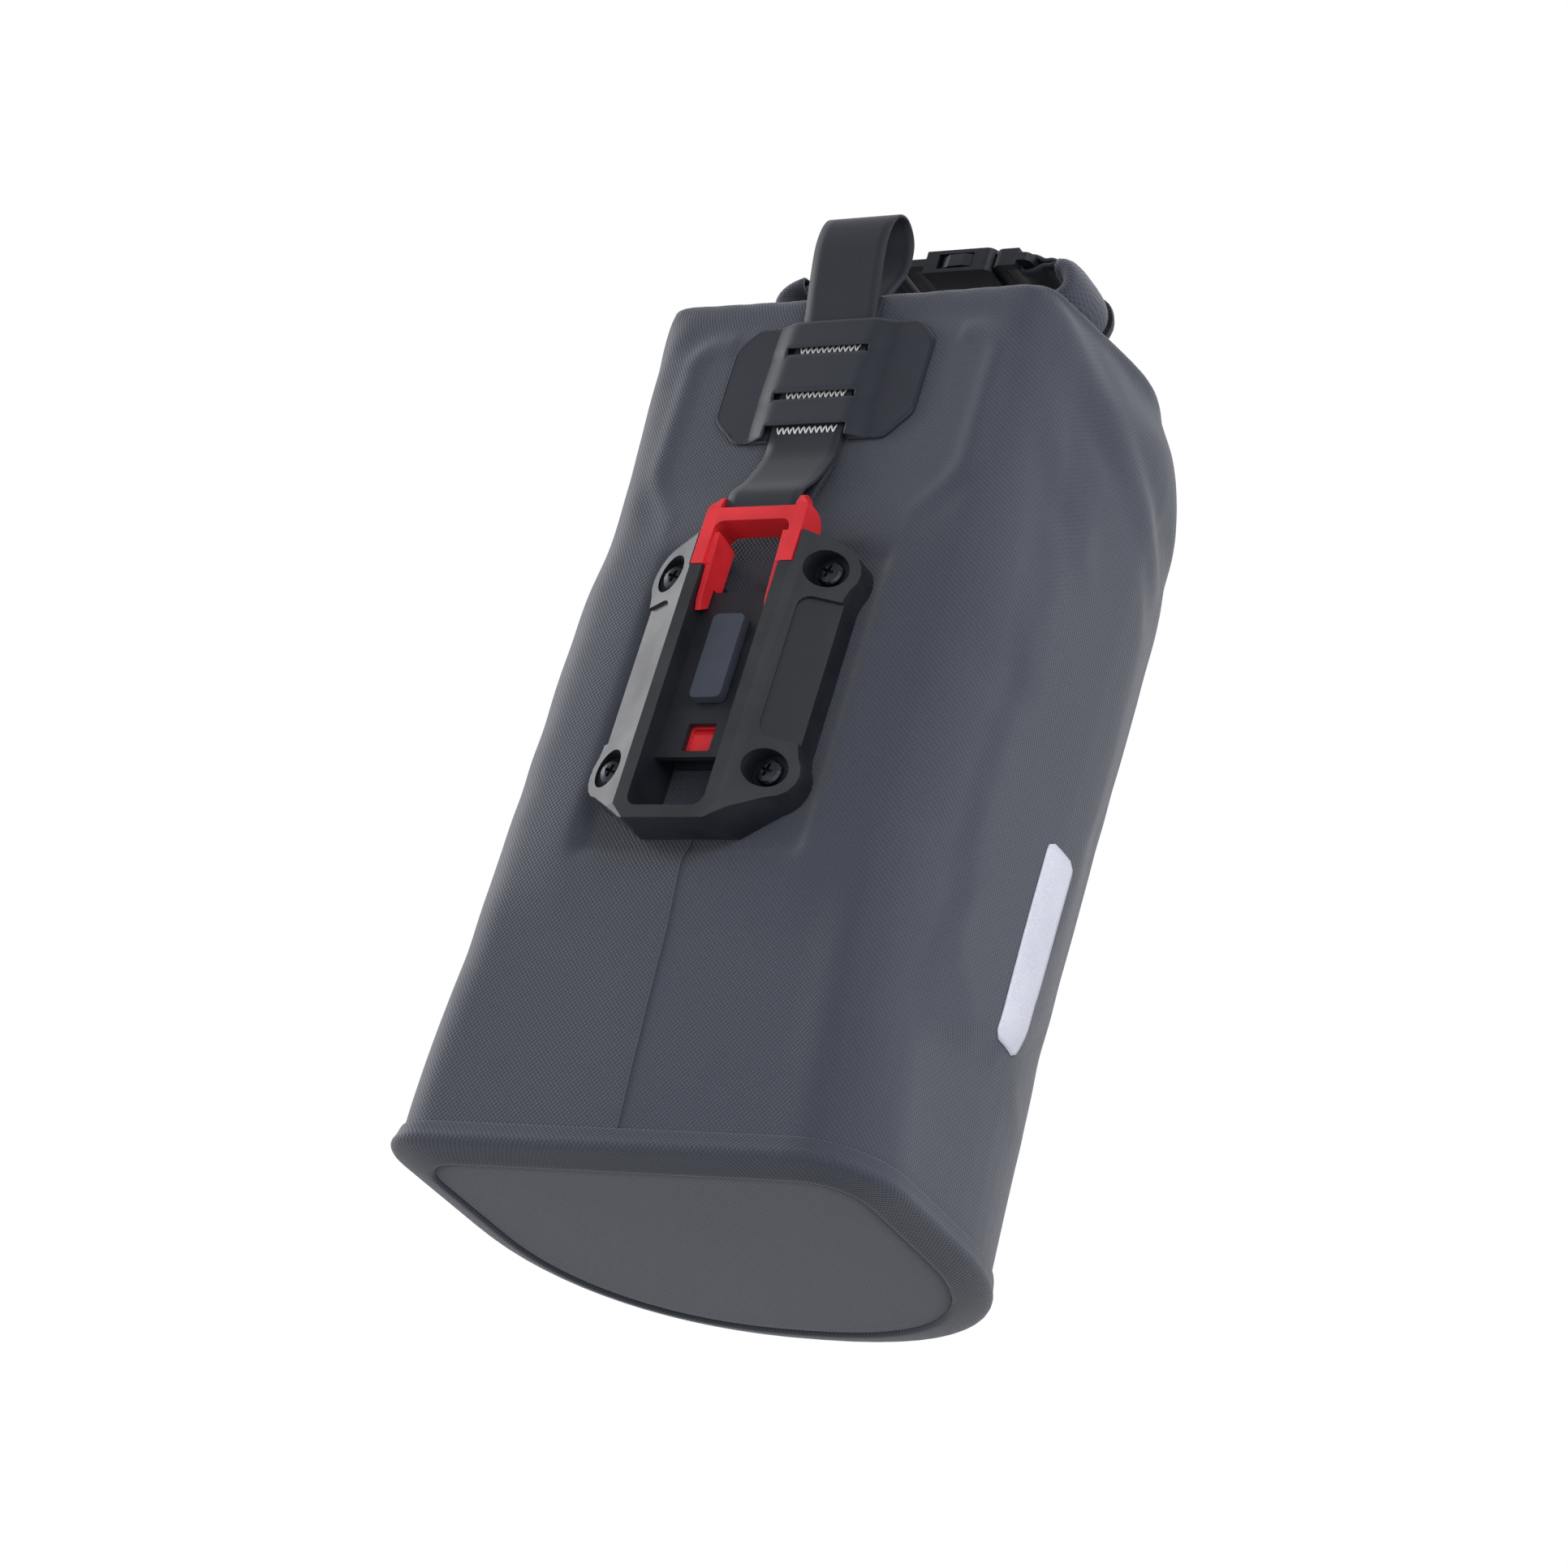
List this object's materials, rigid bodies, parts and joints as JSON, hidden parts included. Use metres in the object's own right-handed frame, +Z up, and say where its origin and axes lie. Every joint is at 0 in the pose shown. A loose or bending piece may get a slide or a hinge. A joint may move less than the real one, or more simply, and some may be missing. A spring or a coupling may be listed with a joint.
{
  "type": "pannier bag",
  "caption": "Roll-top bicycle pannier bag with a rail bracket on its flat front, a red pull-to-release slider and a side-release buckle.",
  "frame": {"origin": "on the ground under the middle of the bag, at the underside of the base panel", "axes": "+Z up from the base to the roll closure, -Y out of the bracket's front, +X to the right of someone facing the bracket"},
  "size_m": [0.1622, 0.1511, 0.31],
  "materials": {
    "coated_fabric": "woven, coated, matte",
    "welded_hem": "woven, coated, matte",
    "stiff_sheet": "matte",
    "smooth_webbing": "smooth, coated, satin",
    "white_thread": "matte",
    "black_plastic": "fine moulded grain",
    "red_plastic": "fine moulded grain",
    "soft_rubber": "matte",
    "blackened_steel": "blackened",
    "spring_steel": "bright",
    "reflective_film": "reflective, satin"
  },
  "bodies": {
    "bag": {"backing_plate": "stiff_sheet", "bag_shell": "coated_fabric", "base_panel": "coated_fabric", "base_seam_band": "welded_hem", "bracket_housing": "black_plastic", "buckle_plug": "black_plastic", "buckle_socket": "black_plastic", "channel_pad": "soft_rubber", "closure_roll": "coated_fabric", "closure_tab_left": "smooth_webbing", "closure_tab_right": "smooth_webbing", "latch_cover": "black_plastic", "mounting_screw_1": "blackened_steel", "mounting_screw_2": "blackened_steel", "mounting_screw_3": "blackened_steel", "mounting_screw_4": "blackened_steel", "mouth_stiffener": "stiff_sheet", "reflective_patch": "reflective_film", "screw_insert_1": "blackened_steel", "screw_insert_2": "blackened_steel", "screw_insert_3": "blackened_steel", "screw_insert_4": "blackened_steel", "sealing_washer_1": "soft_rubber", "sealing_washer_2": "soft_rubber", "sealing_washer_3": "soft_rubber", "sealing_washer_4": "soft_rubber", "strap_patch": "smooth_webbing", "return_spring": "spring_steel"},
    "slider": {"release_slider": "red_plastic", "lock_catch": "red_plastic", "pull_strap": "smooth_webbing", "strap_stitching_1": "white_thread", "strap_stitching_2": "white_thread", "strap_stitching_3": "white_thread"},
    "prong_front": {"buckle_prong_front": "black_plastic"},
    "prong_rear": {"buckle_prong_rear": "black_plastic"}
  },
  "joints": [
    {"name": "slider_lift", "type": "slide", "parent": "bag", "child": "slider", "axis": [0, 0, 1], "range_m": [0, 0.01], "stiffness_N_per_m": 400, "springref_m": -0.005, "deforming": ["return_spring"]},
    {"name": "prong_front_squeeze", "type": "hinge", "parent": "bag", "child": "prong_front", "pos_m": [0.0262, -0.047, 0.306], "axis": [0, 0, -1], "range_deg": [0, 7], "stiffness_Nm_per_rad": 0.5},
    {"name": "prong_rear_squeeze", "type": "hinge", "parent": "bag", "child": "prong_rear", "pos_m": [0.0262, -0.029, 0.306], "axis": [0, 0, 1], "range_deg": [0, 7], "stiffness_Nm_per_rad": 0.5}
  ]
}
